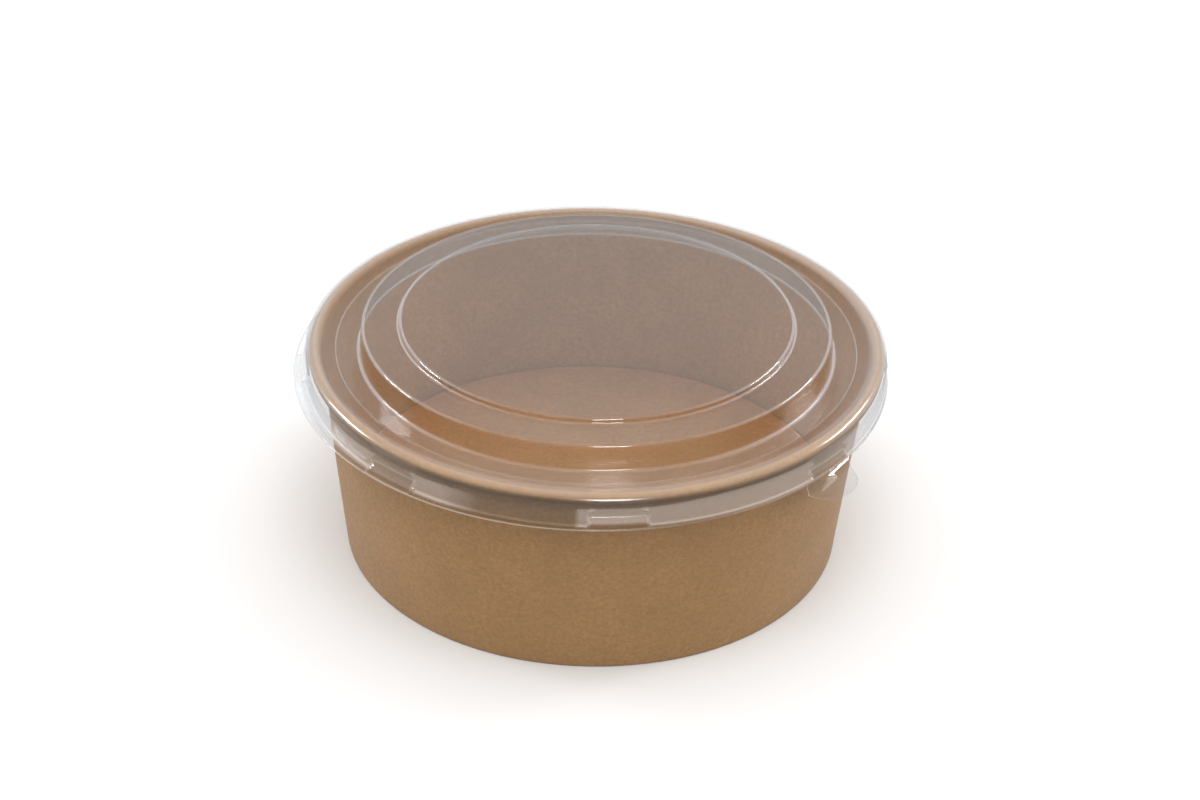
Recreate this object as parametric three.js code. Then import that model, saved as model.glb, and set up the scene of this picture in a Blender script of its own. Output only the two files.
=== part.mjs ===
// Round kraft-paper takeaway bowl with a clear press-on lid.
// Millimetres, +Z up. The origin is the centre of the ring the bowl stands on.
// +X is to the right and -Y to the front; azimuths are degrees from +X, counter-clockwise from above.
import * as THREE from 'three';
import { mergeVertices } from 'three/addons/utils/BufferGeometryUtils.js';

// ---------- driving dimensions ----------
const RIM_R = 75.3;        // outer radius of the rolled rim
const ROLL_R = 1.65;       // outer radius of the rolled tube
const ROLL_Z = 56.2;       // height of the tube's centre
const WALL_TOP_R = 71.85;  // outer radius of the conical wall, carried up to that height
const FLARE_Z = 50;        // above this the wall flares out into the roll
const BASE_R = 66.1;       // outer radius of the wall where it stands
const PAPER = 0.45;        // coated board thickness
const EDGE_R = 0.55;       // rounding of the folded bottom edge, outside
const FLOOR_Z = 10.4;      // top of the set-in bottom, at the wall
const FLOOR_DISH = 0.25;   // how far the bottom's middle sags
const GAP = 0.3;           // air between pieces that touch
const HEM_H = 7.4;         // height of the wall's hem, folded up inside
const SEAM_AZ = 176;       // middle of the side seam's overlap
const SEAM_HALF = 9;       // half its width, degrees
const RIM_SHIFT = 0.5;     // the rim sits this far towards +X of the base
const RIM_FLAT = 0.35;     // the stiff seam flattens the rim by this much
const FRONT_DROP = 0.5;    // the rim sags at the front by this much, and the lid's edge with it
const FRONT_OUT = 0.4;     // and bulges there by this much

const FILM = 0.4;          // lid film thickness
const PANEL_R = 51.3;      // raised middle panel
const PANEL_Z = 64.6;      // its top
const STEP_H = 1.5;        // its step down to the shoulder
const SHOULDER_R = 61.15;  // outer edge of the shoulder
const SHOULDER_Z = 62.85;
const WALL_R = 61.85;      // foot of the dome wall
const WALL_Z = 55.75;
const RING_R = 68.05;      // outer edge of the dished channel
const RING_Z = 57.25;
const SKIRT_R = 76.0;      // skirt, outside, at its foot
const FLANGE_R = 77.9;     // trimmed edge of the flange
const FLANGE_Z = 50.2;     // top of the flange
const FLANGE_SHIFT = 0.8;  // the trimmed circle is off centre by this much, towards -X
const LUGS = 8;            // holding lugs in the skirt
const LUG_AZ = -85;        // the one nearest the front
const LUG_HALF = 5.4;      // half a lug's width, degrees
const LUG_SIDE = 0.8;      // width of its sloping ends, degrees
const TAB_AZ = -40;        // pull tab, below one of the lugs
const TAB_LEN = 6.4;       // from the flange's edge to the tab's tip
const TAB_SLOPE = 60;      // degrees below level

const WALL_SEGMENTS = 56;
const DEG = Math.PI / 180;

// ---------- helpers ----------
// A closed (radius, height) loop turned about +Z through the given azimuths.
// place(r, z, azimuth, row) may move each point; it returns [r, z].
function turn(loop, azimuths, place) {
  const closed = loop.concat([loop[0]]).map(([r, z]) => new THREE.Vector2(r, z));
  const geometry = new THREE.LatheGeometry(closed, azimuths.length);
  const position = geometry.attributes.position;
  const rows = closed.length;
  for (let i = 0; i < position.count; i++) {
    const azimuth = azimuths[Math.floor(i / rows) % azimuths.length];
    const row = (i % rows) % loop.length;
    const [r, z] = place ? place(loop[row][0], loop[row][1], azimuth, row) : loop[row];
    position.setXYZ(i, r * Math.cos(azimuth * DEG), r * Math.sin(azimuth * DEG), z);
  }
  geometry.deleteAttribute('normal');
  geometry.deleteAttribute('uv');
  return mergeVertices(geometry, 1e-5);
}

const even = (count, start = 0) => Array.from({ length: count }, (_, i) => start + (360 * i) / count);
const mix = (a, b, w) => a + (b - a) * w;
const clamp01 = (v) => Math.min(1, Math.max(0, v));
const smooth = (v) => { const w = clamp01(v); return w * w * (3 - 2 * w); };
const turnTo = (azimuth, target) => ((azimuth - target + 540) % 360) - 180;

// Gives a centre line of (radius, height) points a thickness, as one closed loop
// that runs along its right side and back along its left.
function thicken(line, thickness) {
  const side = (offset) => line.map(([r, z], i) => {
    const a = line[Math.max(0, i - 1)];
    const b = line[Math.min(line.length - 1, i + 1)];
    const n1 = normalTo(a, [r, z], b, offset);
    return [r + n1[0], z + n1[1]];
  });
  return side(thickness / 2).concat(side(-thickness / 2).reverse());
}

function normalTo(a, p, b, offset) {
  const unit = (u, v) => { const l = Math.hypot(v[0] - u[0], v[1] - u[1]); return l > 0 ? [(v[0] - u[0]) / l, (v[1] - u[1]) / l] : null; };
  const d1 = unit(a, p) ?? unit(p, b);
  const d2 = unit(p, b) ?? d1;
  const n1 = [d1[1], -d1[0]];
  const n2 = [d2[1], -d2[0]];
  const s = [n1[0] + n2[0], n1[1] + n2[1]];
  const l2 = s[0] * s[0] + s[1] * s[1];
  return [(2 * offset * s[0]) / l2, (2 * offset * s[1]) / l2];
}

const arc = (cr, cz, radius, from, to, steps) => Array.from({ length: steps + 1 }, (_, i) => {
  const a = mix(from, to, i / steps) * DEG;
  return [cr + radius * Math.cos(a), cz + radius * Math.sin(a)];
});

// ---------- the bowl's wall ----------
// Middle of the board, from the hem's top edge, down inside, round the foot,
// up the conical wall, over and round the rolled rim.
const tubeR = RIM_R - ROLL_R;                      // radius of the tube's centre
const half = PAPER / 2;
const slope = (WALL_TOP_R - BASE_R) / ROLL_Z;
const wallMid = (z) => BASE_R - half + slope * z;
const hemGap = PAPER + 2 * GAP;                    // room for the bottom's skirt
const foot = EDGE_R - half;
const hemMid = (z) => wallMid(z) - PAPER - hemGap;

function wallLine() {
  const line = [];
  line.push([hemMid(HEM_H), HEM_H]);
  line.push([hemMid(foot + half), foot + half]);
  line.push([hemMid(half) + foot * 0.45, half]);
  line.push([wallMid(half) - foot * 0.75, half]);
  line.push([wallMid(foot + half), foot + half]);
  line.push([wallMid(FLARE_Z), FLARE_Z]);
  // the roll: one turn, tightening past its outermost point, its end tucked in
  const steps = 9;
  for (let i = 0; i <= steps; i++) {
    const a = 180 - (345 * i) / steps;
    const r = ROLL_R - half - 0.62 * smooth((10 - a) / 175);
    line.push([tubeR + r * Math.cos(a * DEG), ROLL_Z + r * Math.sin(a * DEG)]);
  }
  return line;
}

// 1 at the very front, fading to 0 at the sides.
const frontness = (azimuth) => Math.max(0, -Math.sin(azimuth * DEG)) ** 2;

// Out of round: the rim sits slightly to +X of the base, is flatter at the stiff seam,
// and sags and bulges a little at the front.
function rimShape(r, z, azimuth) {
  const up = clamp01(z / ROLL_Z);
  const pull = RIM_FLAT * Math.exp(-((turnTo(azimuth, SEAM_AZ) / 14) ** 2));
  const front = up * up * frontness(azimuth);
  return [
    r + up * up * (RIM_SHIFT * Math.cos(azimuth * DEG) - pull) + front * FRONT_OUT,
    z - front * FRONT_DROP,
  ];
}

// The wall's azimuths, with close pairs at the edges of the seam's overlap.
function wallAzimuths() {
  const list = even(WALL_SEGMENTS, 0);
  const near = (target) => list.reduce((best, a, i) => (Math.abs(turnTo(a, target)) < Math.abs(turnTo(list[best], target)) ? i : best), 0);
  const first = SEAM_AZ - SEAM_HALF;
  const last = SEAM_AZ + SEAM_HALF;
  list[near(first)] = first;
  list[near(last)] = last;
  list.push(first - 0.5, last + 0.5);
  return list.sort((a, b) => a - b);
}

function bowlWall() {
  const line = wallLine();
  const loop = thicken(line, PAPER);
  const count = line.length;
  // rows 0..count-1 are the right-hand side of the line: outside on the wall and the roll
  const outside = (row) => row < count && row >= 4;
  return turn(loop, wallAzimuths(), (r, z, azimuth, row) => {
    const lap = Math.abs(turnTo(azimuth, SEAM_AZ)) <= SEAM_HALF + 1e-6 && outside(row) && row < 6;
    return rimShape(r + (lap ? PAPER * 0.8 : 0), z, azimuth);
  });
}

// ---------- the bowl's bottom ----------
// A disc set into the wall, its edge turned down between the wall and the hem.
function bowlBottom() {
  const skirtMid = (z) => wallMid(z) - PAPER - GAP;
  const top = FLOOR_Z - half;
  const bend = 1.1;
  const line = [
    [0, top - FLOOR_DISH],
    [skirtMid(top) - bend, top],
    [skirtMid(top) - bend * 0.3, top - bend * 0.3],
    [skirtMid(top - bend), top - bend],
    [skirtMid(2.2), 2.2],
  ];
  const loop = thicken(line, PAPER);
  // the outer skin runs first, so the axis points sit at both ends of the loop
  loop[0][0] = 0;
  loop[loop.length - 1][0] = 0;
  const closed = loop.map(([r, z]) => new THREE.Vector2(r, z));
  const azimuths = wallAzimuths();
  const geometry = new THREE.LatheGeometry(closed, azimuths.length);
  const position = geometry.attributes.position;
  for (let i = 0; i < position.count; i++) {
    const azimuth = azimuths[Math.floor(i / closed.length) % azimuths.length];
    const { x, y } = closed[i % closed.length];
    const [r, z] = x > 1 ? rimShape(x, y, azimuth) : [x, y];
    position.setXYZ(i, r * Math.cos(azimuth * DEG), r * Math.sin(azimuth * DEG), z);
  }
  geometry.deleteAttribute('normal');
  geometry.deleteAttribute('uv');
  return dropSlivers(mergeVertices(geometry, 1e-5));
}

// Removes the triangles that collapse where a turned profile meets its axis.
function dropSlivers(geometry) {
  const index = Array.from(geometry.index.array);
  const kept = [];
  for (let i = 0; i < index.length; i += 3) {
    const [a, b, c] = index.slice(i, i + 3);
    if (a !== b && b !== c && c !== a) kept.push(a, b, c);
  }
  geometry.setIndex(kept);
  return geometry;
}

// ---------- the lid ----------
// Outer side of the film, from the middle of the panel out to the flange's edge.
const coverR = ROLL_R + GAP + FILM;                // outside of the film over the roll
function lidOuter() {
  const points = [];
  points.push([0, PANEL_Z]);
  points.push([PANEL_R, PANEL_Z]);
  points.push([PANEL_R + 0.35, PANEL_Z - STEP_H + 0.2]);
  points.push([PANEL_R + 0.75, PANEL_Z - STEP_H]);
  points.push([SHOULDER_R - 0.5, SHOULDER_Z + 0.06]);
  points.push([SHOULDER_R + 0.05, SHOULDER_Z - 0.55]);
  points.push([WALL_R, WALL_Z + 0.5]);
  points.push([WALL_R + 0.6, WALL_Z]);
  points.push([RING_R, RING_Z]);
  points.push([tubeR - 1.9, ROLL_Z + coverR - 0.55]);
  points.push(...arc(tubeR, ROLL_Z, coverR, 80, 0, 3));
  points.push([SKIRT_R - 0.1, 54.0]);
  points.push([SKIRT_R, 52.2]);
  points.push([SKIRT_R + 0.15, FLANGE_Z]);
  points.push([FLANGE_R - 0.5, FLANGE_Z]);
  points.push([FLANGE_R, FLANGE_Z - 0.05]);
  return points;
}

function lidAzimuths() {
  const pitch = 360 / LUGS;
  const list = [];
  for (let k = 0; k < LUGS; k++) {
    const centre = LUG_AZ + pitch * k;
    for (const d of [-LUG_HALF - LUG_SIDE, -LUG_HALF, 0, LUG_HALF, LUG_HALF + LUG_SIDE]) list.push(centre + d);
    const free = pitch - 2 * (LUG_HALF + LUG_SIDE);
    for (let j = 1; j <= 4; j++) list.push(centre + LUG_HALF + LUG_SIDE + (free * j) / 5);
    if (Math.abs(turnTo(centre, TAB_AZ)) < 1) list.push(centre - 2.8, centre + 2.8);
  }
  return list.map((a) => ((a % 360) + 360) % 360).sort((a, b) => a - b);
}

function lid() {
  const outer = lidOuter();
  const last = outer.length - 1;
  // the inner side: the same line moved in by the film's thickness
  const inner = outer.map((p, i) => {
    const n = normalTo(outer[Math.max(0, i - 1)], p, outer[Math.min(last, i + 1)], FILM);
    return [p[0] + n[0], p[1] + n[1]];
  });
  inner[0] = [0, PANEL_Z - FILM];
  inner[last] = [outer[last][0], outer[last][1] - FILM];
  const azimuths = lidAzimuths();
  const pitch = 360 / LUGS;

  // how far into a lug this azimuth is, 0 to 1
  const lugWeight = (azimuth) => {
    const d = Math.abs(((turnTo(azimuth, LUG_AZ) % pitch) + 1.5 * pitch) % pitch - pitch / 2);
    return smooth((LUG_HALF + LUG_SIDE - d) / LUG_SIDE);
  };
  const tabWeight = (azimuth) => {
    const d = Math.abs(turnTo(azimuth, TAB_AZ));
    return d <= LUG_HALF + LUG_SIDE * 0.5 ? 1 - 0.35 * (d / LUG_HALF) ** 3 : 0;
  };
  const place = (k, p, azimuth) => {
    let [r, z] = p;
    const w = lugWeight(azimuth);
    const c = Math.cos(azimuth * DEG);
    const front = smooth((r - WALL_R - 0.6) / 6) * frontness(azimuth);
    if (k === last - 4) { r = mix(r, r - 0.15, w); z = mix(z, 53.7, w); }              // top of the lug
    if (k === last - 3) { r = mix(r, 74.5, w); z = mix(z, z + 0.3, w); }               // its shelf
    if (k === last - 2) { r = mix(r, SKIRT_R + 0.95, w); }                             // its foot, on the flange
    if (k >= last - 1) r -= FLANGE_SHIFT * c;
    if (k === last) {
      const t = tabWeight(azimuth);
      if (t > 0) {
        r += t * TAB_LEN * Math.cos(TAB_SLOPE * DEG);
        z -= t * TAB_LEN * Math.sin(TAB_SLOPE * DEG);
      }
    } else if (k < last - 1) {
      // the lid sits where the rim sits
      r += RIM_SHIFT * c;
    }
    return [r + front * FRONT_OUT, z - front * FRONT_DROP];
  };

  const profile = [];
  for (let k = 0; k <= last; k++) profile.push({ k, side: 0, p: outer[k] });
  for (let k = last; k >= 0; k--) profile.push({ k, side: 1, p: inner[k] });
  const run = profile.slice().reverse();
  const points = run.map(({ p }) => new THREE.Vector2(p[0], p[1]));
  const geometry = new THREE.LatheGeometry(points, azimuths.length);
  const position = geometry.attributes.position;
  for (let i = 0; i < position.count; i++) {
    const azimuth = azimuths[Math.floor(i / run.length) % azimuths.length];
    const { k, side, p } = run[i % run.length];
    const base = place(k, outer[k], azimuth);
    const [r, z] = p[0] === 0 ? p : side === 0 ? base : [base[0] + p[0] - outer[k][0], base[1] + p[1] - outer[k][1]];
    position.setXYZ(i, r * Math.cos(azimuth * DEG), r * Math.sin(azimuth * DEG), z);
  }
  geometry.deleteAttribute('normal');
  geometry.deleteAttribute('uv');
  return dropSlivers(mergeVertices(geometry, 1e-5));
}

// ---------- the assembled object ----------
const group = new THREE.Group();
const add = (name, geometry, material) => {
  const mesh = new THREE.Mesh(geometry, new THREE.MeshStandardMaterial(material));
  mesh.name = name;
  group.add(mesh);
};
add('bowl_wall', bowlWall(), { color: 0xa37a51, roughness: 0.75, metalness: 0 });
add('bowl_bottom', bowlBottom(), { color: 0xa87f58, roughness: 0.7, metalness: 0 });
add('lid', lid(), { color: 0xe8ecee, roughness: 0.06, metalness: 0, transparent: true, opacity: 0.3 });

export default group;
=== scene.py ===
"""Looks of an empty kraft salad bowl with a clear press-on lid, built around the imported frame.

Sizes below are millimetres in the frame's own axes: +Z up, +X right, -Y to the camera.
Azimuths are degrees from +X, counter-clockwise from above.
"""
import math

import bpy
import numpy as np
from mathutils import Matrix, Vector


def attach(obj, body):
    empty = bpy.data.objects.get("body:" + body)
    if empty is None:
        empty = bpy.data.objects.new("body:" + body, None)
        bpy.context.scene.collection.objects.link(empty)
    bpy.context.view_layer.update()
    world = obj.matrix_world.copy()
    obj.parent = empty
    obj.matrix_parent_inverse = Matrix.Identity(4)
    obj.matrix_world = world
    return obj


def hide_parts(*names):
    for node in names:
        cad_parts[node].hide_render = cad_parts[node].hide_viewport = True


MM = 0.001
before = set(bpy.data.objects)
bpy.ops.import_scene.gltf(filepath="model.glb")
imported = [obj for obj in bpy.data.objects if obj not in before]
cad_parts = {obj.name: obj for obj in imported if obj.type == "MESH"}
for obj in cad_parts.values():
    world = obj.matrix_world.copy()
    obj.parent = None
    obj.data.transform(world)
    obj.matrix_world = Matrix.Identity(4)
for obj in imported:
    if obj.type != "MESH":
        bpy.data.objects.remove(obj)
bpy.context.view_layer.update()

# ---------------------------------------------------------------- sizes
RIM_R, ROLL_R, ROLL_Z = 75.3, 1.65, 56.2
WALL_TOP_R, FLARE_Z = 71.85, 50.0
BASE_R, PAPER, EDGE_R = 66.1, 0.45, 0.55
FLOOR_Z, FLOOR_DISH, GAP, HEM_H = 10.4, 0.25, 0.3, 7.4
SEAM_AZ, SEAM_HALF = 176.0, 9.0
RIM_SHIFT, RIM_FLAT = 0.5, 0.35
FRONT_DROP, FRONT_OUT = 0.5, 0.4

FILM = 0.4
PANEL_R, PANEL_Z, STEP_H = 51.3, 64.6, 1.5
SHOULDER_R, SHOULDER_Z = 61.15, 62.85
WALL_R, WALL_Z = 61.85, 55.75
RING_R, RING_Z = 68.05, 57.25
SKIRT_R, FLANGE_R, FLANGE_Z = 76.0, 77.9, 50.2
FLANGE_SHIFT = 0.8
LUGS, LUG_AZ, LUG_HALF = 8, -85.0, 5.4
TAB_AZ = -40.0

tube_r = RIM_R - ROLL_R
half = PAPER / 2
slope = (WALL_TOP_R - BASE_R) / ROLL_Z
foot = EDGE_R - half
hem_gap = PAPER + 2 * GAP


def wall_mid(z):
    return BASE_R - half + slope * z


def hem_mid(z):
    return wall_mid(z) - PAPER - hem_gap


# ---------------------------------------------------------------- small maths
def smooth(v):
    w = np.clip(v, 0.0, 1.0)
    return w * w * (3 - 2 * w)


def turn_to(az, target):
    return (np.asarray(az) - target + 540.0) % 360.0 - 180.0


def polar(r, az, z):
    a = np.radians(az)
    return np.stack([r * np.cos(a), r * np.sin(a), np.broadcast_to(z, np.shape(r))], -1)


def arc(cr, cz, radius, start, end, steps):
    a = np.radians(np.linspace(start, end, steps + 1))
    return [(cr + radius * math.cos(t), cz + radius * math.sin(t)) for t in a]


def filleted(corners, steps=6, pad=0.12):
    """A line through (r, z, fillet radius) corners, with each corner rounded and its neighbours kept straight."""
    points = []
    count = len(corners)
    for i, (r, z, radius) in enumerate(corners):
        p = np.array([r, z])
        if i in (0, count - 1) or radius <= 0:
            points.append(tuple(p))
            continue
        a = np.array(corners[i - 1][:2]) - p
        b = np.array(corners[i + 1][:2]) - p
        la, lb = np.linalg.norm(a), np.linalg.norm(b)
        a, b = a / la, b / lb
        bend = math.acos(max(-1, min(1, float(a @ b))))
        reach = min(radius / math.tan(bend / 2), la * 0.48, lb * 0.48)
        radius = reach * math.tan(bend / 2)
        centre = p + (a + b) / np.linalg.norm(a + b) * radius / math.sin(bend / 2)
        s, e = p + a * reach, p + b * reach
        if la * 0.48 - reach > pad:
            points.append(tuple(s + a * pad))
        v0, v1 = s - centre, e - centre
        total = math.acos(max(-1, min(1, float(v0 @ v1) / (radius * radius))))
        for k in range(steps + 1):
            t = total * k / steps
            w0 = math.sin(total - t) / math.sin(total)
            w1 = math.sin(t) / math.sin(total)
            points.append(tuple(centre + v0 * w0 + v1 * w1))
        if lb * 0.48 - reach > pad:
            points.append(tuple(e + b * pad))
    return np.array(points)


def side_normals(line):
    """Unit normals to the right of a polyline's direction."""
    d = np.diff(line, axis=0)
    d = d / np.maximum(np.linalg.norm(d, axis=1, keepdims=True), 1e-12)
    n = np.stack([d[:, 1], -d[:, 0]], -1)
    s = np.vstack([n[:1], n[:-1] + n[1:], n[-1:]])
    s[0], s[-1] = n[0], n[-1]
    l2 = (s * s).sum(1, keepdims=True)
    out = 2 * s / l2
    out[0], out[-1] = n[0], n[-1]
    return out


# ---------------------------------------------------------------- mesh building
class Shape:
    """Vertices and faces of one closed piece, collected from grids that share their edge vertices."""

    def __init__(self):
        self.points, self.faces, self.uvs = [], [], []
        self.count = 0

    def add(self, grid):
        grid = np.asarray(grid, float)
        flat = grid.reshape(-1, 3)
        index = np.arange(self.count, self.count + len(flat)).reshape(grid.shape[:-1])
        self.points.append(flat)
        self.count += len(flat)
        return index

    def quads(self, index, wrap=True, skip=None):
        """Faces between neighbouring rows and columns of a grid of vertex numbers."""
        rows, cols = index.shape
        last = cols if wrap else cols - 1
        for i in range(rows - 1):
            for j in range(last):
                if skip is not None and skip(i, j):
                    continue
                k = (j + 1) % cols
                self.faces.append((index[i, j], index[i, k], index[i + 1, k], index[i + 1, j]))

    def fan(self, centre, ring, flip=False):
        count = len(ring)
        for j in range(count):
            k = (j + 1) % count
            self.faces.append((centre, ring[k], ring[j]) if flip else (centre, ring[j], ring[k]))

    def build(self, name):
        points = np.vstack(self.points) * MM
        mesh = bpy.data.meshes.new(name)
        mesh.from_pydata([tuple(p) for p in points], [], [tuple(int(v) for v in f) for f in self.faces])
        mesh.validate(verbose=False)
        mesh.calc_loop_triangles()
        tri = np.zeros(len(mesh.loop_triangles) * 3, np.int32)
        mesh.loop_triangles.foreach_get("vertices", tri)
        t = points[tri.reshape(-1, 3)]
        if np.einsum("ij,ij->i", t[:, 0], np.cross(t[:, 1], t[:, 2])).sum() < 0:
            mesh.flip_normals()
        mesh.polygons.foreach_set("use_smooth", [True] * len(mesh.polygons))
        mesh.update()
        piece = bpy.data.objects.new(name, mesh)
        bpy.context.scene.collection.objects.link(piece)
        return piece


# ---------------------------------------------------------------- the bowl's wall
def frontness(az):
    return np.maximum(0.0, -np.sin(np.radians(az))) ** 2


def rim_shape(r, z, az):
    up = np.clip(z / ROLL_Z, 0, 1) ** 2
    pull = RIM_FLAT * np.exp(-((turn_to(az, SEAM_AZ) / 14.0) ** 2))
    front = up * frontness(az)
    return r + up * (RIM_SHIFT * np.cos(np.radians(az)) - pull) + front * FRONT_OUT, z - front * FRONT_DROP


def wall_line():
    """Middle of the board: hem, foot, wall, roll."""
    line = [(hem_mid(z), z) for z in np.linspace(HEM_H, foot + half + 0.3, 5)]
    line += arc(hem_mid(half) + foot, foot + half, foot, 180, 270, 5)
    line += arc(wall_mid(half) - foot, foot + half, foot, 270, 360, 5)
    line += [(wall_mid(z), z) for z in np.linspace(foot + half + 0.3, FLARE_Z - 1.0, 20)]
    # the wall flares out into the roll
    end_r = tube_r - ROLL_R + half
    lean = (end_r - wall_mid(ROLL_Z - 0.4)) / (ROLL_Z - 0.4 - FLARE_Z)
    line += [(wall_mid(z) + lean * max(0.0, z - FLARE_Z + 0.35 * math.exp(-abs(z - FLARE_Z))), z) for z in np.linspace(FLARE_Z, ROLL_Z - 0.4, 10)]
    steps = 40
    for i in range(steps + 1):
        a = 178 - 343 * i / steps
        r = ROLL_R - half - 0.62 * float(smooth((10 - a) / 175))
        line.append((tube_r + r * math.cos(math.radians(a)), ROLL_Z + r * math.sin(math.radians(a))))
    return np.array(line)


def wall_azimuths():
    az = list(np.arange(0, 360, 1.0))
    for edge in (SEAM_AZ - SEAM_HALF, SEAM_AZ + SEAM_HALF):
        az += [edge + d for d in (-0.5, -0.22, -0.1, 0.1, 0.22, 0.5)]
    return np.array(sorted(set(round(a, 3) for a in az)))


def make_wall():
    line = wall_line()
    n = side_normals(line)
    outer, inner = line + n * half, line - n * half
    az = wall_azimuths()
    d = turn_to(az, SEAM_AZ)
    # the overlap: one sharp edge outside, the other inside, each fading away at its far side
    outside = smooth((SEAM_HALF - d) / 0.2 + 0.5) * smooth((d + SEAM_HALF + 4) / 4)
    inside = smooth((d + SEAM_HALF) / 0.2 + 0.5) * smooth((SEAM_HALF + 4 - d) / 4)
    shape = Shape()

    def rows(points, lap, sign):
        out = []
        for r, z in points:
            on = float(smooth((z - 1.4) / 1.2) * smooth((57.4 - z) / 3.0))
            on *= 1.0 if r > wall_mid(z) - 0.6 else 0.0
            rr, zz = rim_shape(np.full(len(az), r) + sign * lap * 0.34 * on, z, az)
            # board is never perfectly true
            rr = rr + 0.05 * np.sin(np.radians(3 * az + 40)) * (z / 58.0) + 0.03 * np.sin(np.radians(7 * az + 160 + z * 2))
            out.append(polar(rr, az, zz))
        return np.array(out)

    a = rows(outer, outside, 1.0)
    b = rows(inner, inside, -1.0)[::-1]
    loop = np.concatenate([a, b, a[:1]], 0)
    index = shape.add(loop[:-1])
    shape.quads(np.vstack([index, index[:1]]))
    return shape.build("bowl_wall_paper")


def make_bottom():
    skirt = lambda z: wall_mid(z) - PAPER - GAP
    top = FLOOR_Z - half
    bend = 1.1
    line = [(r, top - FLOOR_DISH * (1 - (r / (skirt(top) - bend)) ** 2)) for r in (8, 16, 24, 32, 40, 48, 54, 59, 62, 64)]
    line += arc(skirt(top) - bend, top - bend, bend, 90, 0, 8)
    line += [(skirt(z), z) for z in (8.0, 6.0, 4.0, 2.4)]
    line = np.array(line)
    n = side_normals(line)
    a, b = line - n * half, line + n * half
    az = np.arange(0, 360, 1.5)
    shape = Shape()

    def rows(points):
        out = []
        for r, z in points:
            rr, zz = rim_shape(np.full(len(az), r), z, az)
            out.append(polar(rr, az, zz))
        return np.array(out)

    upper, lower = shape.add(rows(a)), shape.add(rows(b))
    crown = shape.add([[0, 0, top - FLOOR_DISH + half]])[0]
    under = shape.add([[0, 0, top - FLOOR_DISH - half]])[0]
    shape.quads(upper)
    shape.quads(lower[::-1])
    shape.quads(np.vstack([upper[-1:], lower[-1:]]))
    shape.fan(crown, upper[0], flip=True)
    shape.fan(under, lower[0])
    return shape.build("bowl_bottom_paper")


# ---------------------------------------------------------------- the lid
cover_r = ROLL_R + GAP + FILM


def lid_profile():
    """Outer side of the film from near the middle to where the skirt's lugs begin."""
    a0 = 112
    start = (tube_r + cover_r * math.cos(math.radians(a0)), ROLL_Z + cover_r * math.sin(math.radians(a0)))
    line = filleted(
        [
            (3.0, PANEL_Z, 0),
            (PANEL_R + 0.2, PANEL_Z, 0.88),
            (PANEL_R + 0.5, PANEL_Z - STEP_H, 0.45),
            (SHOULDER_R + 0.12, SHOULDER_Z + 0.1, 0.95),
            (WALL_R + 0.1, WALL_Z, 0.6),
            (RING_R, RING_Z - 0.25, 0.5),
            (start[0], start[1], 0),
        ],
        steps=6,
    )
    # extra rows across the long flats
    dense = [line[0]]
    for p, q in zip(line[:-1], line[1:]):
        length = np.linalg.norm(q - p)
        parts = max(1, int(math.ceil(length / (6.0 if q[0] < 52 else 2.2))))
        for k in range(1, parts + 1):
            dense.append(p + (q - p) * k / parts)
    line = dense + [np.array(p) for p in arc(tube_r, ROLL_Z, cover_r, a0, 0, 14)[1:]]
    return np.array(line + [np.array([SKIRT_R - 0.16, 55.4]), np.array([SKIRT_R - 0.12, 54.7])])


def resampled(line, count):
    line = np.asarray(line, float)
    s = np.concatenate([[0], np.cumsum(np.linalg.norm(np.diff(line, axis=0), axis=1))])
    t = np.linspace(0, s[-1], count)
    return np.stack([np.interp(t, s, line[:, 0]), np.interp(t, s, line[:, 1])], -1)


SKIRT_ROWS = 22
plain_skirt = resampled(
    filleted([(SKIRT_R - 0.11, 54.3, 0), (SKIRT_R + 0.1, FLANGE_Z, 0.5), (SKIRT_R + 1.35, FLANGE_Z, 0)], 5, 0.1), SKIRT_ROWS
)
lug_skirt = resampled(
    filleted(
        [(SKIRT_R - 0.33, 54.3, 0), (SKIRT_R - 0.4, 52.95, 0.25), (SKIRT_R - 0.72, 52.5, 0.25), (SKIRT_R + 1.6, FLANGE_Z - 0.02, 0)], 5, 0.1
    ),
    SKIRT_ROWS,
)


def lid_azimuths():
    az = list(np.arange(0, 360, 1.25))
    for k in range(LUGS):
        c = LUG_AZ + 360.0 / LUGS * k
        for s in (-1, 1):
            az += [c + s * d for d in (4.5, 4.8, 5.05, 5.25, 5.45, 5.65, 5.85, 6.05, 6.3)]
    az += list(TAB_AZ - 0.6 + np.linspace(-7.2, 6.6, 61))
    az = np.array(sorted(set(round(a % 360.0, 3) for a in az)))
    keep = [az[0]]
    for a in az[1:]:
        if a - keep[-1] > 0.12:
            keep.append(a)
    return np.array(keep)


def lug_weight(az, t):
    """How far into a lug a point of the skirt is; the lug widens towards its foot (t = 1)."""
    pitch = 360.0 / LUGS
    d = np.abs((turn_to(az, LUG_AZ) + 4.5 * pitch) % pitch - pitch / 2)
    halfwidth = LUG_HALF + 0.35 * (t - 0.5)
    round_off = 0.55 * (1 - smooth(t / 0.18))
    return smooth((halfwidth + 0.42 - round_off - d) / 0.84)


# the pull tab's left and right sides, in mm along the flange against mm down its slope
TAB_V = [0.0, 1.0, 2.2, 3.6, 5.0, 6.0, 6.8, 7.3, 7.5]
TAB_L = [-9.6, -10.4, -11.0, -9.2, -6.7, -4.7, -2.7, 0.4, 2.4]
TAB_R = [7.6, 6.9, 6.3, 6.7, 7.15, 7.0, 6.2, 5.0, 3.9]
TAB_SLOPE = 60.0


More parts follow.
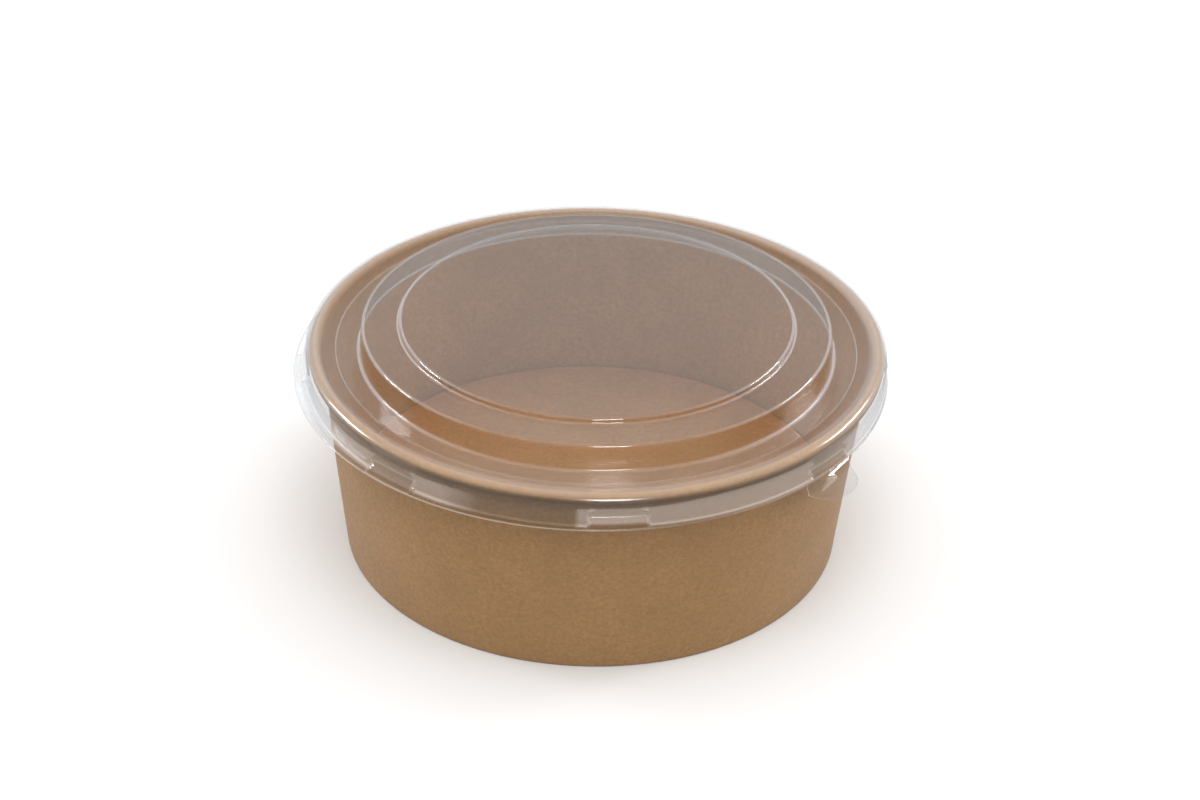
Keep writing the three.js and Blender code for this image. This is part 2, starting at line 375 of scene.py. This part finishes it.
def tab_crease(u, v):
    """Height of the two short ribs that meet on the tab."""
    total = np.zeros_like(u)
    for (u0, v0), (u1, v1), high in (((-6.6, 3.0), (-0.4, 1.8), 0.42), ((-3.4, 1.0), (-0.4, 1.8), 0.3)):
        d = np.array([u1 - u0, v1 - v0])
        t = np.clip(((u - u0) * d[0] + (v - v0) * d[1]) / (d @ d), 0, 1)
        away = np.hypot(u - u0 - t * d[0], v - v0 - t * d[1])
        total = np.maximum(total, high * np.clip(1 - away / 0.55, 0, 1) * (0.35 + 0.65 * t))
    return total


def make_lid():
    az = lid_azimuths()
    cos = np.cos(np.radians(az))
    profile = lid_profile()
    outer_line = np.vstack([profile, plain_skirt, [(FLANGE_R - 0.12, FLANGE_Z), (FLANGE_R, FLANGE_Z - 0.1)]])
    body = len(profile)
    film_n = side_normals(outer_line)
    rows_out, rows_in = [], []
    for k, (r, z) in enumerate(outer_line):
        if k < body:
            rr, zz = np.full(len(az), r), np.full(len(az), z)
            nr, nz = np.full(len(az), film_n[k, 0]), np.full(len(az), film_n[k, 1])
            shift = RIM_SHIFT * cos * smooth(r / 50.0)
            if r > 74.5:
                # the film is creased where each lug is pressed in
                rr = rr - 0.22 * lug_weight(az, 0.5) * float(smooth((56.6 - z) / 0.9))
        elif k < body + SKIRT_ROWS:
            i = k - body
            t = i / (SKIRT_ROWS - 1)
            w = lug_weight(az, t)
            a, b = plain_skirt[i], lug_skirt[i]
            rr, zz = a[0] + (b[0] - a[0]) * w, a[1] + (b[1] - a[1]) * w
            na, nb = side_normals(plain_skirt)[i], side_normals(lug_skirt)[i]
            nr, nz = na[0] + (nb[0] - na[0]) * w, na[1] + (nb[1] - na[1]) * w
            shift = RIM_SHIFT * cos + (-(FLANGE_SHIFT + RIM_SHIFT) * cos) * smooth((r - SKIRT_R - 0.3) / 1.2)
        else:
            rr, zz = np.full(len(az), r), np.full(len(az), z)
            nr, nz = np.zeros(len(az)), np.ones(len(az)) * -1.0
            shift = -FLANGE_SHIFT * cos
        front = smooth((r - WALL_R - 0.6) / 6.0) * frontness(az)
        shift = shift + front * FRONT_OUT
        zz = zz - front * FRONT_DROP
        rows_out.append(polar(rr + shift, az, zz))
        inward = FILM if k < body + SKIRT_ROWS else 0.0
        rows_in.append(polar(rr + shift + nr * inward, az, zz + nz * inward))
    # the flange's cut edge
    last = len(outer_line) - 1
    rows_in[last] = rows_out[last] - np.array([0, 0, FILM - 0.2])
    rows_in[last - 1] = rows_out[last - 1] - np.array([0, 0, FILM])
    out_grid, in_grid = np.array(rows_out), np.array(rows_in)
    return az, out_grid, in_grid, last


def lid_piece():
    az, out_grid, in_grid, last = make_lid()
    shape = Shape()
    outer, inner = shape.add(out_grid), shape.add(in_grid)
    shape.quads(outer)
    shape.quads(inner[::-1])
    crown = shape.add([[0, 0, PANEL_Z]])[0]
    under = shape.add([[0, 0, PANEL_Z - FILM]])[0]
    shape.fan(crown, outer[0], flip=True)
    shape.fan(under, inner[0])

    # columns that the tab grows from
    d = turn_to(az, TAB_AZ)
    u_edge = np.radians(d) * FLANGE_R
    cols = [j for j in np.argsort(d) if TAB_L[0] - 0.3 <= u_edge[j] <= TAB_R[0] + 0.3]
    first, final = cols[0], cols[-1]
    in_tab = set(cols[:-1])
    count = len(az)
    for j in range(count):
        if j in in_tab:
            continue
        k = (j + 1) % count
        shape.faces.append((outer[last, j], outer[last, k], inner[last, k], inner[last, j]))
    share = np.linspace(0, 1, len(cols))
    a = math.radians(TAB_AZ)
    er, et = np.array([math.cos(a), math.sin(a), 0.0]), np.array([-math.sin(a), math.cos(a), 0.0])
    v_rows = np.concatenate([np.linspace(0.25, 4.0, 17), np.linspace(4.4, 7.0, 7), [7.25, 7.42, 7.5]])
    top_prev = [int(outer[last, j]) for j in cols]
    low_prev = [int(inner[last, j]) for j in cols]
    start = np.array([out_grid[last, j] for j in cols])
    left0, right0 = float(start[0] @ et), float(start[-1] @ et)
    tops, lows = [top_prev], [low_prev]
    for v in v_rows:
        left = np.interp(v, TAB_V, TAB_L) + (left0 - TAB_L[0]) * max(0.0, 1 - v / 1.0)
        right = np.interp(v, TAB_V, TAB_R) + (right0 - TAB_R[0]) * max(0.0, 1 - v / 1.0)
        u = left + (right - left) * share
        fade = float(smooth(v / 3.0))
        # the root follows the round flange, the tip lies in one plane, gently crowned
        root_r = start @ er
        base_r = root_r + (77.3 - root_r) * fade
        bent = 1.0 - math.exp(-v / 0.8)
        ang = math.radians(TAB_SLOPE)
        reach = v * math.cos(ang) + 0.35 * bent
        drop = v * math.sin(ang) - 0.3 * bent
        crown_z = 0.35 * np.cos(np.clip(u / 9.0, -1, 1) * math.pi / 2) * fade + tab_crease(u, v)
        pos = er[None, :] * (base_r + reach + crown_z * math.sin(ang))[:, None] + et[None, :] * u[:, None]
        pos[:, 2] = start[:, 2] - drop + crown_z * math.cos(ang)
        nrm = er * math.sin(ang) + np.array([0, 0, 1.0]) * math.cos(ang)
        t_idx = shape.add(pos)
        l_idx = shape.add(pos - nrm[None, :] * (FILM - 0.2) * 0.9 - np.array([0, 0, 0.02]))
        tops.append([int(x) for x in t_idx])
        lows.append([int(x) for x in l_idx])
    tops, lows = np.array(tops), np.array(lows)
    shape.quads(tops, wrap=False)
    shape.quads(lows[::-1], wrap=False)
    for grid_a, grid_b in ((tops[:, 0], lows[:, 0]), (lows[:, -1], tops[:, -1])):
        for i in range(len(grid_a) - 1):
            shape.faces.append((int(grid_a[i]), int(grid_a[i + 1]), int(grid_b[i + 1]), int(grid_b[i])))
    for j in range(len(cols) - 1):
        shape.faces.append((int(tops[-1, j]), int(tops[-1, j + 1]), int(lows[-1, j + 1]), int(lows[-1, j])))
    return shape.build("lid_film")


def mark_bends(piece, lo, hi):
    """Write, for every vertex, how sharply the film bends there, 0 to 1 between lo and hi degrees a millimetre."""
    import bmesh

    bm = bmesh.new()
    bm.from_mesh(piece.data)
    value = np.zeros(len(bm.verts))
    for edge in bm.edges:
        if len(edge.link_faces) != 2:
            continue
        a, b = edge.link_faces
        turn = math.degrees(edge.calc_face_angle(0.0))
        gap = (a.calc_center_median() - b.calc_center_median()).length / MM
        sharp = turn / max(gap, 0.12)
        for vert in edge.verts:
            value[vert.index] = max(value[vert.index], sharp)
    bm.free()
    layer = piece.data.attributes.new("bend", "FLOAT", "POINT")
    layer.data.foreach_set("value", smooth((value - lo) / (hi - lo)).astype(np.float32))


# ---------------------------------------------------------------- materials
BEND_HAZE_AND_GLINT, SKIRT_HAZE, COVER_HAZE_AND_SHEEN, CREASE_HAZE = 0.17, 0.235, 0.06, 0.1
FLOOR_GLOW = 0.0
FLOOR_BOUNCE = (0.36, 0.35, 0.34)


def new_material(name):
    mat = bpy.data.materials.new(name)
    mat.use_nodes = True
    tree = mat.node_tree
    tree.nodes.clear()
    out = tree.nodes.new("ShaderNodeOutputMaterial")
    return mat, tree, out


def link(tree, a, b):
    tree.links.new(a, b)


def noise(tree, vector, scale, detail=3.0, rough=0.55, distortion=0.0):
    node = tree.nodes.new("ShaderNodeTexNoise")
    node.inputs["Scale"].default_value = scale
    node.inputs["Detail"].default_value = detail
    node.inputs["Roughness"].default_value = rough
    node.inputs["Distortion"].default_value = distortion
    link(tree, vector, node.inputs["Vector"])
    return node.outputs["Fac"]


def remap(tree, value, lo, hi, to_lo=0.0, to_hi=1.0):
    node = tree.nodes.new("ShaderNodeMapRange")
    node.inputs["From Min"].default_value = lo
    node.inputs["From Max"].default_value = hi
    node.inputs["To Min"].default_value = to_lo
    node.inputs["To Max"].default_value = to_hi
    link(tree, value, node.inputs["Value"])
    return node.outputs["Result"]


def maths(tree, op, a, b):
    node = tree.nodes.new("ShaderNodeMath")
    node.operation = op
    for i, v in enumerate((a, b)):
        if isinstance(v, (int, float)):
            node.inputs[i].default_value = v
        else:
            link(tree, v, node.inputs[i])
    return node.outputs[0]


def mix_colour(tree, fac, a, b, mode="MIX"):
    node = tree.nodes.new("ShaderNodeMix")
    node.data_type = "RGBA"
    node.blend_type = mode
    if isinstance(fac, (int, float)):
        node.inputs[0].default_value = fac
    else:
        link(tree, fac, node.inputs[0])
    for i, v in ((6, a), (7, b)):
        if isinstance(v, tuple):
            node.inputs[i].default_value = (*v, 1.0)
        else:
            link(tree, v, node.inputs[i])
    return node.outputs[2]


def kraft(name, base, dark, light, roughness, specular, sheen=0.0, painted_edge_shade=None):
    """Brown kraft board: cloudy tone, fine mottle, and short fibres lying in every direction; optionally a painted
    shade darkens and warms it towards its outer edge.
    """
    mat, tree, out = new_material(name)
    coord = tree.nodes.new("ShaderNodeTexCoord")
    obj = coord.outputs["Object"]
    clouds = noise(tree, obj, 70.0, 4.0, 0.6)
    mottle = noise(tree, obj, 900.0, 4.0, 0.6)
    grain = noise(tree, obj, 2600.0, 2.0, 0.6)
    fibres = []
    for k, (rx, ry, rz) in enumerate(((0.2, 0.5, 0.3), (1.1, 0.3, 2.0), (0.5, 1.4, 1.0))):
        mapping = tree.nodes.new("ShaderNodeMapping")
        mapping.inputs["Rotation"].default_value = (rx, ry, rz)
        mapping.inputs["Scale"].default_value = (1.0, 6.0, 6.0)
        link(tree, obj, mapping.inputs["Vector"])
        f = noise(tree, mapping.outputs["Vector"], 420.0, 2.0, 0.5, 0.6)
        fibres.append(remap(tree, f, 0.60, 0.72))
    streak = maths(tree, "MAXIMUM", maths(tree, "MAXIMUM", fibres[0], fibres[1]), fibres[2])
    colour = mix_colour(tree, remap(tree, clouds, 0.3, 0.7), tuple(c * 0.91 for c in base), tuple(min(1, c * 1.10) for c in base))
    colour = mix_colour(tree, remap(tree, mottle, 0.32, 0.68, 0.0, 0.8), colour, dark)
    colour = mix_colour(tree, remap(tree, grain, 0.45, 0.75, 0.0, 0.35), colour, light)
    colour = mix_colour(tree, maths(tree, "MULTIPLY", streak, 0.45), colour, dark)
    # painted shade: darker and warmer towards the bottom's outer edge, standing in for the shade and bounce light in
    # the corner where it meets the wall
    if painted_edge_shade:
        place = tree.nodes.new("ShaderNodeSeparateXYZ")
        link(tree, obj, place.inputs[0])
        reach = maths(tree, "ADD", maths(tree, "POWER", place.outputs["X"], 2.0), maths(tree, "POWER", place.outputs["Y"], 2.0))
        colour = mix_colour(tree, remap(tree, reach, 0.034 ** 2, 0.064 ** 2), colour, painted_edge_shade, "MULTIPLY")
    shader = tree.nodes.new("ShaderNodeBsdfPrincipled")
    link(tree, colour, shader.inputs["Base Color"])
    shader.inputs["Specular IOR Level"].default_value = specular
    if sheen:
        shader.inputs["Sheen Weight"].default_value = sheen
        shader.inputs["Sheen Roughness"].default_value = 0.5
    link(tree, remap(tree, mottle, 0.3, 0.7, roughness - 0.05, roughness + 0.06), shader.inputs["Roughness"])
    height = maths(tree, "ADD", maths(tree, "MULTIPLY", grain, 0.5), maths(tree, "MULTIPLY", mottle, 0.8))
    height = maths(tree, "ADD", height, maths(tree, "MULTIPLY", streak, 0.35))
    bump = tree.nodes.new("ShaderNodeBump")
    bump.inputs["Strength"].default_value = 0.35
    bump.inputs["Distance"].default_value = 0.00006
    link(tree, height, bump.inputs["Height"])
    link(tree, bump.outputs["Normal"], shader.inputs["Normal"])
    link(tree, shader.outputs[0], out.inputs["Surface"])
    return mat


def clear_film():
    """Clear film: what is behind shows straight through, each face mirrors by its angle, and bends and cut edges are
    milky, partly as painted highlights.
    """
    mat, tree, out = new_material("clear_film")
    side = tree.nodes.new("ShaderNodeNewGeometry")
    fresnel = tree.nodes.new("ShaderNodeFresnel")
    # 1.5 from outside, and its inverse on the inner faces, as the light isn't bent on its way in
    link(tree, remap(tree, side.outputs["Backfacing"], 0.0, 1.0, 1.5, 1 / 1.5), fresnel.inputs["IOR"])
    clear = tree.nodes.new("ShaderNodeBsdfTransparent")
    clear.inputs["Color"].default_value = (0.958, 0.961, 0.966, 1.0)
    lit = tree.nodes.new("ShaderNodeBsdfTransparent")
    lit.inputs["Color"].default_value = (0.88, 0.88, 0.88, 1.0)
    mirror = tree.nodes.new("ShaderNodeBsdfGlossy")
    mirror.inputs["Color"].default_value = (1.0, 1.0, 1.0, 1.0)
    pane = tree.nodes.new("ShaderNodeMixShader")
    link(tree, fresnel.outputs[0], pane.inputs[0])
    link(tree, clear.outputs[0], pane.inputs[1])
    link(tree, mirror.outputs[0], pane.inputs[2])
    # milky where the film was drawn tight, with painted highlights along the bends, and a thin uneven haze on the
    # skirt
    bend = tree.nodes.new("ShaderNodeAttribute")
    bend.attribute_type = "GEOMETRY"
    bend.attribute_name = "bend"
    coord = tree.nodes.new("ShaderNodeTexCoord")
    place = tree.nodes.new("ShaderNodeSeparateXYZ")
    link(tree, coord.outputs["Object"], place.inputs[0])
    out_x = maths(tree, "POWER", place.outputs["X"], 2.0)
    out_y = maths(tree, "POWER", place.outputs["Y"], 2.0)
    radius = maths(tree, "SQRT", maths(tree, "ADD", out_x, out_y), 0.0)
    angle = maths(tree, "ARCTAN2", place.outputs["Y"], place.outputs["X"])
    lift = remap(tree, angle, math.radians(-82), math.radians(-64), 0.0, 0.0011)
    level = maths(tree, "SUBTRACT", place.outputs["Z"], lift)
    skirt = maths(tree, "MULTIPLY", remap(tree, level, 0.0545, 0.0540), remap(tree, radius, 0.0772, 0.0768))
    left_end, right_end = math.radians(-113.5), math.radians(-92.5)
    gap_on = remap(tree, angle, left_end - 0.09, left_end + 0.05)
    gap_off = remap(tree, angle, right_end - 0.01, right_end + 0.01, 1.0, 0.0)
    held = maths(tree, "SUBTRACT", 1.0, maths(tree, "MULTIPLY", gap_on, gap_off))
    cloud = remap(tree, noise(tree, coord.outputs["Object"], 26.0, 1.0, 0.5), 0.35, 0.65, 0.92, 1.0)
    haze_and_sheen = maths(tree, "MULTIPLY", maths(tree, "MULTIPLY", skirt, held), maths(tree, "MULTIPLY", cloud, SKIRT_HAZE))
    # the lugs beside the tab and at the left are clearer than the middle one
    for lug in (-40.0, -130.0):
        beside_lug = maths(tree, "ABSOLUTE", maths(tree, "SUBTRACT", angle, math.radians(lug)), 0.0)
        haze_and_sheen = maths(tree, "MULTIPLY", haze_and_sheen, remap(tree, beside_lug, math.radians(4.6), math.radians(6.2), 0.35, 1.0))
    # the cover lies against the roll along its top, where it is finely ribbed and so less sharp a mirror
    rub = maths(tree, "MULTIPLY", remap(tree, radius, 0.0713, 0.0727), remap(tree, place.outputs["Z"], 0.0562, 0.0574))
    # the steep dome wall and the channel are drawn deepest, so they are softer mirrors too
    drawn = maths(tree, "MULTIPLY", remap(tree, radius, 0.0612, 0.0617), remap(tree, place.outputs["Z"], 0.0550, 0.0556))
    link(tree, remap(tree, maths(tree, "MAXIMUM", rub, drawn), 0.0, 1.0, 0.05, 0.19), mirror.inputs["Roughness"])
    # the ribbed cover is milky too, more so at the front: partly the film's own haze, partly painted sheen standing in
    # for the highlight spread along the roll's top
    haze_and_sheen = maths(tree, "MAXIMUM", haze_and_sheen, maths(tree, "MULTIPLY", rub, remap(tree, place.outputs["Y"], 0.03, -0.05, COVER_HAZE_AND_SHEEN * 1.4, COVER_HAZE_AND_SHEEN)))
    # painted highlight: the milk on the bends is made stronger at the left, right and far side and weaker at the
    # front, standing in for the bright reflections along the bends there
    painted_line_gain = remap(tree, angle, -math.radians(150), -math.radians(112), 1.3, 0.45)
    painted_line_gain = maths(tree, "MAXIMUM", painted_line_gain, remap(tree, angle, -math.radians(68), -math.radians(30), 0.45, 1.3))
    painted_line_gain = maths(tree, "MULTIPLY", painted_line_gain, remap(tree, place.outputs["Y"], 0.0, 0.04, 1.0, 1.9))
    line = maths(tree, "MAXIMUM", maths(tree, "MULTIPLY", painted_line_gain, BEND_HAZE_AND_GLINT), maths(tree, "MULTIPLY", remap(tree, place.outputs["Z"], 0.0556, 0.0552), remap(tree, place.outputs["Z"], 0.0502, 0.0509, 0.08, 0.2)))
    # the fine crease half way up the channel, which runs a little off centre and bulges at the front
    off_x = maths(tree, "SUBTRACT", place.outputs["X"], RIM_SHIFT * MM)
    ring = maths(tree, "SQRT", maths(tree, "ADD", maths(tree, "POWER", off_x, 2.0), out_y), 0.0)
    ahead = maths(tree, "POWER", remap(tree, maths(tree, "DIVIDE", place.outputs["Y"], ring), 0.0, -1.0), 2.0)
    away = maths(tree, "ABSOLUTE", maths(tree, "SUBTRACT", maths(tree, "SUBTRACT", ring, RING_R * MM), maths(tree, "MULTIPLY", ahead, FRONT_OUT * MM)), 0.0)
    crease = maths(tree, "MULTIPLY", remap(tree, away, 0.00006, 0.00022, CREASE_HAZE, 0.0), remap(tree, place.outputs["Z"], 0.0540, 0.0550))
    # beyond the flange's edge, on the tab, the bends are milkier: partly film whitened at its folds, partly painted
    # highlight standing in for the glint on the tab's creases
    line = maths(tree, "MAXIMUM", line, remap(tree, radius, 0.0779, 0.0783, 0.0, 0.24))
    amount = maths(tree, "ADD", maths(tree, "MULTIPLY", bend.outputs["Fac"], line), haze_and_sheen)
    amount = maths(tree, "MAXIMUM", amount, crease)
    milk_and_glint = tree.nodes.new("ShaderNodeBsdfDiffuse")
    # painted bounce light: at the front, where the board is close behind it, the haze is tinted warm, standing in for
    # light thrown onto it by the board
    painted_board_bounce = remap(tree, place.outputs["Y"], -0.052, -0.030, 1.0, 0.0)
    link(tree, mix_colour(tree, painted_board_bounce, (0.87, 0.90, 0.96), (0.98, 0.84, 0.74)), milk_and_glint.inputs["Color"])
    dim = tree.nodes.new("ShaderNodeBsdfTransparent")
    dim.inputs["Color"].default_value = (0.5, 0.5, 0.5, 1.0)
    passing = tree.nodes.new("ShaderNodeMixShader")
    link(tree, maths(tree, "MULTIPLY", remap(tree, radius, 0.0735, 0.0750), remap(tree, place.outputs["Z"], 0.0572, 0.0562)), passing.inputs[0])
    link(tree, lit.outputs[0], passing.inputs[1])
    link(tree, dim.outputs[0], passing.inputs[2])
    body = tree.nodes.new("ShaderNodeMixShader")
    link(tree, amount, body.inputs[0])
    link(tree, pane.outputs[0], body.inputs[1])
    link(tree, milk_and_glint.outputs[0], body.inputs[2])
    path = tree.nodes.new("ShaderNodeLightPath")
    mix = tree.nodes.new("ShaderNodeMixShader")
    link(tree, maths(tree, "MAXIMUM", path.outputs["Is Shadow Ray"], path.outputs["Is Diffuse Ray"]), mix.inputs[0])
    link(tree, body.outputs[0], mix.inputs[1])
    link(tree, passing.outputs[0], mix.inputs[2])
    link(tree, mix.outputs[0], out.inputs["Surface"])
    return mat


def floor_material():
    """A pale table. Only the camera sees it as bright as this: it sends little light back up at the bowl."""
    mat, tree, out = new_material("pale_floor")
    coord = tree.nodes.new("ShaderNodeTexCoord")
    shader = tree.nodes.new("ShaderNodeBsdfPrincipled")
    soft = noise(tree, coord.outputs["Object"], 3.0, 2.0, 0.5)
    link(tree, mix_colour(tree, soft, (0.81, 0.81, 0.81), (0.83, 0.83, 0.83)), shader.inputs["Base Color"])
    shader.inputs["Roughness"].default_value = 0.8
    shader.inputs["Specular IOR Level"].default_value = 0.2
    shader.inputs["Emission Color"].default_value = (1.0, 1.0, 1.0, 1.0)
    shader.inputs["Emission Strength"].default_value = FLOOR_GLOW
    dull = tree.nodes.new("ShaderNodeBsdfDiffuse")
    place = tree.nodes.new("ShaderNodeSeparateXYZ")
    link(tree, coord.outputs["Object"], place.inputs[0])
    link(tree, mix_colour(tree, remap(tree, place.outputs["Y"], 0.0, 0.3), FLOOR_BOUNCE, (0.5, 0.49, 0.47)), dull.inputs["Color"])
    path = tree.nodes.new("ShaderNodeLightPath")
    mix = tree.nodes.new("ShaderNodeMixShader")
    link(tree, path.outputs["Is Camera Ray"], mix.inputs[0])
    link(tree, dull.outputs[0], mix.inputs[1])
    link(tree, shader.outputs[0], mix.inputs[2])
    link(tree, mix.outputs[0], out.inputs["Surface"])
    return mat


wall = make_wall()
bottom = make_bottom()
lid = lid_piece()
mark_bends(lid, 30.0, 100.0)
wall.data.materials.append(kraft("kraft_wall", (0.492, 0.273, 0.109), (0.372, 0.193, 0.066), (0.612, 0.383, 0.189), 0.62, 0.45, 0.2))
bottom.data.materials.append(kraft("kraft_bottom", (0.485, 0.268, 0.121), (0.365, 0.188, 0.074), (0.60, 0.375, 0.205), 0.5, 0.5, 0.0, (0.93, 0.85, 0.78)))
lid.data.materials.append(clear_film())
for piece, node, slot in ((wall, "bowl_wall", "kraft_wall"), (bottom, "bowl_bottom", "kraft_bottom"), (lid, "lid", "clear_lid")):
    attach(piece, "root")
    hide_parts(node)

# ---------------------------------------------------------------- floor, lights, camera
floor_mesh = bpy.data.meshes.new("floor")
floor_mesh.from_pydata([(-4, -3, 0), (4, -3, 0), (4, 6, 0), (-4, 6, 0)], [], [(0, 1, 2, 3)])
floor = bpy.data.objects.new("floor", floor_mesh)
bpy.context.scene.collection.objects.link(floor)
floor.data.materials.append(floor_material())


def softbox(name, direction, distance, size, radiance, colour=(1, 1, 1), target=(0, 0, 0.05)):
    light = bpy.data.lights.new(name, "AREA")
    light.shape = "RECTANGLE"
    light.size, light.size_y = size
    light.energy = radiance * math.pi * size[0] * size[1]
    light.color = colour
    obj = bpy.data.objects.new(name, light)
    bpy.context.scene.collection.objects.link(obj)
    d = Vector(direction).normalized()
    obj.location = Vector(target) + d * distance
    obj.rotation_mode = "QUATERNION"
    obj.rotation_quaternion = (-d).to_track_quat("-Z", "Y")
    return obj


softbox("left_box", (-0.80, 0.28, 0.50), 1.5, (0.3, 0.45), 7.3).visible_glossy = False
softbox("right_box", (0.80, 0.28, 0.50), 1.5, (0.3, 0.45), 9.6).visible_glossy = False
softbox("key_box", (0.04, -0.2, 0.98), 1.5, (0.5, 0.3), 4.0).visible_glossy = False
for name, direction, size, radiance in (
    ("left_glint", (-0.82, 0.25, 0.42), (0.5, 0.22), 26.0),
    ("right_glint", (0.742, 0.391, 0.545), (0.7, 0.16), 22.0),
    ("key_glint", (0.11, -0.91, 0.41), (0.4, 0.42), 18.0),
):
    softbox(name, direction, 1.5, size, radiance).visible_diffuse = False
# soft front fill from above that the film doesn't mirror
fill = softbox("fill_box", (0.0, -0.5, 0.87), 1.6, (0.9, 0.7), 2.2)
fill.visible_glossy = False

world = bpy.data.worlds.new("studio")
bpy.context.scene.world = world
world.use_nodes = True
wt = world.node_tree
wt.nodes.clear()
w_out = wt.nodes.new("ShaderNodeOutputWorld")
w_coord = wt.nodes.new("ShaderNodeTexCoord")
w_split = wt.nodes.new("ShaderNodeSeparateXYZ")
wt.links.new(w_coord.outputs["Generated"], w_split.inputs[0])


def ramp(source, stops):
    node = wt.nodes.new("ShaderNodeValToRGB")
    wt.links.new(source, node.inputs["Fac"])
    while len(node.color_ramp.elements) < len(stops):
        node.color_ramp.elements.new(0.5)
    for element, (at, colour) in zip(node.color_ramp.elements, stops):
        element.position = at
        element.color = (*colour, 1.0)
    return node.outputs["Color"]


# soft light from all round, most of it from above
w_bg = wt.nodes.new("ShaderNodeBackground")
wt.links.new(ramp(w_split.outputs["Z"], ((0.0, (0.10, 0.10, 0.10)), (1.0, (1.0, 1.0, 1.0)))), w_bg.inputs["Color"])
# and more from low down at the sides than from front and back
beside = maths(wt, "MULTIPLY", maths(wt, "POWER", w_split.outputs["X"], 2.0), maths(wt, "SUBTRACT", 1.0, w_split.outputs["Z"]))
wt.links.new(remap(wt, beside, 0.0, 1.0, 1.42, 4.0), w_bg.inputs["Strength"])
# what the film mirrors: a slightly warm horizon under a cooler backdrop, and a darker room in front
back = ramp(w_split.outputs["Z"], ((0.0, (1.2, 1.12, 1.05)), (0.08, (0.75, 0.72, 0.68)), (0.16, (0.50, 0.49, 0.48)), (0.25, (0.42, 0.42, 0.42)), (0.5, (0.58, 0.76, 0.86)), (1.0, (0.45, 0.48, 0.50))))
depth = remap(wt, w_split.outputs["Y"], -0.35, 0.35, 0.0, 1.0)
# pale panels low down at the back, left and right of the middle
aside = maths(wt, "ABSOLUTE", w_split.outputs["X"], 0.0)
back = mix_colour(wt, remap(wt, aside, 0.12, 0.26, 0.0, 0.7), back, (0.2, 0.2, 0.2))
wide = remap(wt, aside, 0.22, 0.45)
panels = maths(wt, "MULTIPLY", wide, remap(wt, w_split.outputs["Z"], 0.38, 0.22))
back = mix_colour(wt, panels, back, (0.85, 0.85, 0.88))
room = mix_colour(wt, depth, (0.10, 0.10, 0.10), back)
w_gloss = wt.nodes.new("ShaderNodeBackground")
wt.links.new(room, w_gloss.inputs["Color"])
w_gloss.inputs["Strength"].default_value = 1.0
w_path = wt.nodes.new("ShaderNodeLightPath")
w_mix = wt.nodes.new("ShaderNodeMixShader")
wt.links.new(w_path.outputs["Is Glossy Ray"], w_mix.inputs[0])
wt.links.new(w_bg.outputs[0], w_mix.inputs[1])
wt.links.new(w_gloss.outputs[0], w_mix.inputs[2])
wt.links.new(w_mix.outputs[0], w_out.inputs["Surface"])

# the photo's viewing angle: 31 degrees above the table, about 0.7 m away, long lens
cam_data = bpy.data.cameras.new("camera")
cam = bpy.data.objects.new("camera", cam_data)
bpy.context.scene.collection.objects.link(cam)
cam_data.sensor_width = 36.0
cam_data.sensor_fit = "HORIZONTAL"
cam_data.lens = 36.0 * 2597.4 / 1200.0
cam_data.clip_start, cam_data.clip_end = 0.05, 50.0
forward = Vector((0.00258735, 0.85528697, -0.51814814)).normalized()
right0 = forward.cross(Vector((0, 0, 1))).normalized()
up0 = right0.cross(forward)
roll = math.radians(1.30)
right = right0 * math.cos(roll) + up0 * math.sin(roll)
up = up0 * math.cos(roll) - right0 * math.sin(roll)
cam.matrix_world = Matrix(
    (
        (right.x, up.x, -forward.x, 0.0),
        (right.y, up.y, -forward.y, -0.590164),
        (right.z, up.z, -forward.z, 0.396096),
        (0, 0, 0, 1),
    )
)
bpy.context.scene.camera = cam

scene = bpy.context.scene
scene.view_settings.view_transform = "Standard"
scene.cycles.max_bounces = 20
scene.cycles.transmission_bounces = 20
scene.cycles.transparent_max_bounces = 24
scene.cycles.glossy_bounces = 8
scene.cycles.diffuse_bounces = 6
scene.cycles.caustics_refractive = False
scene.cycles.caustics_reflective = False
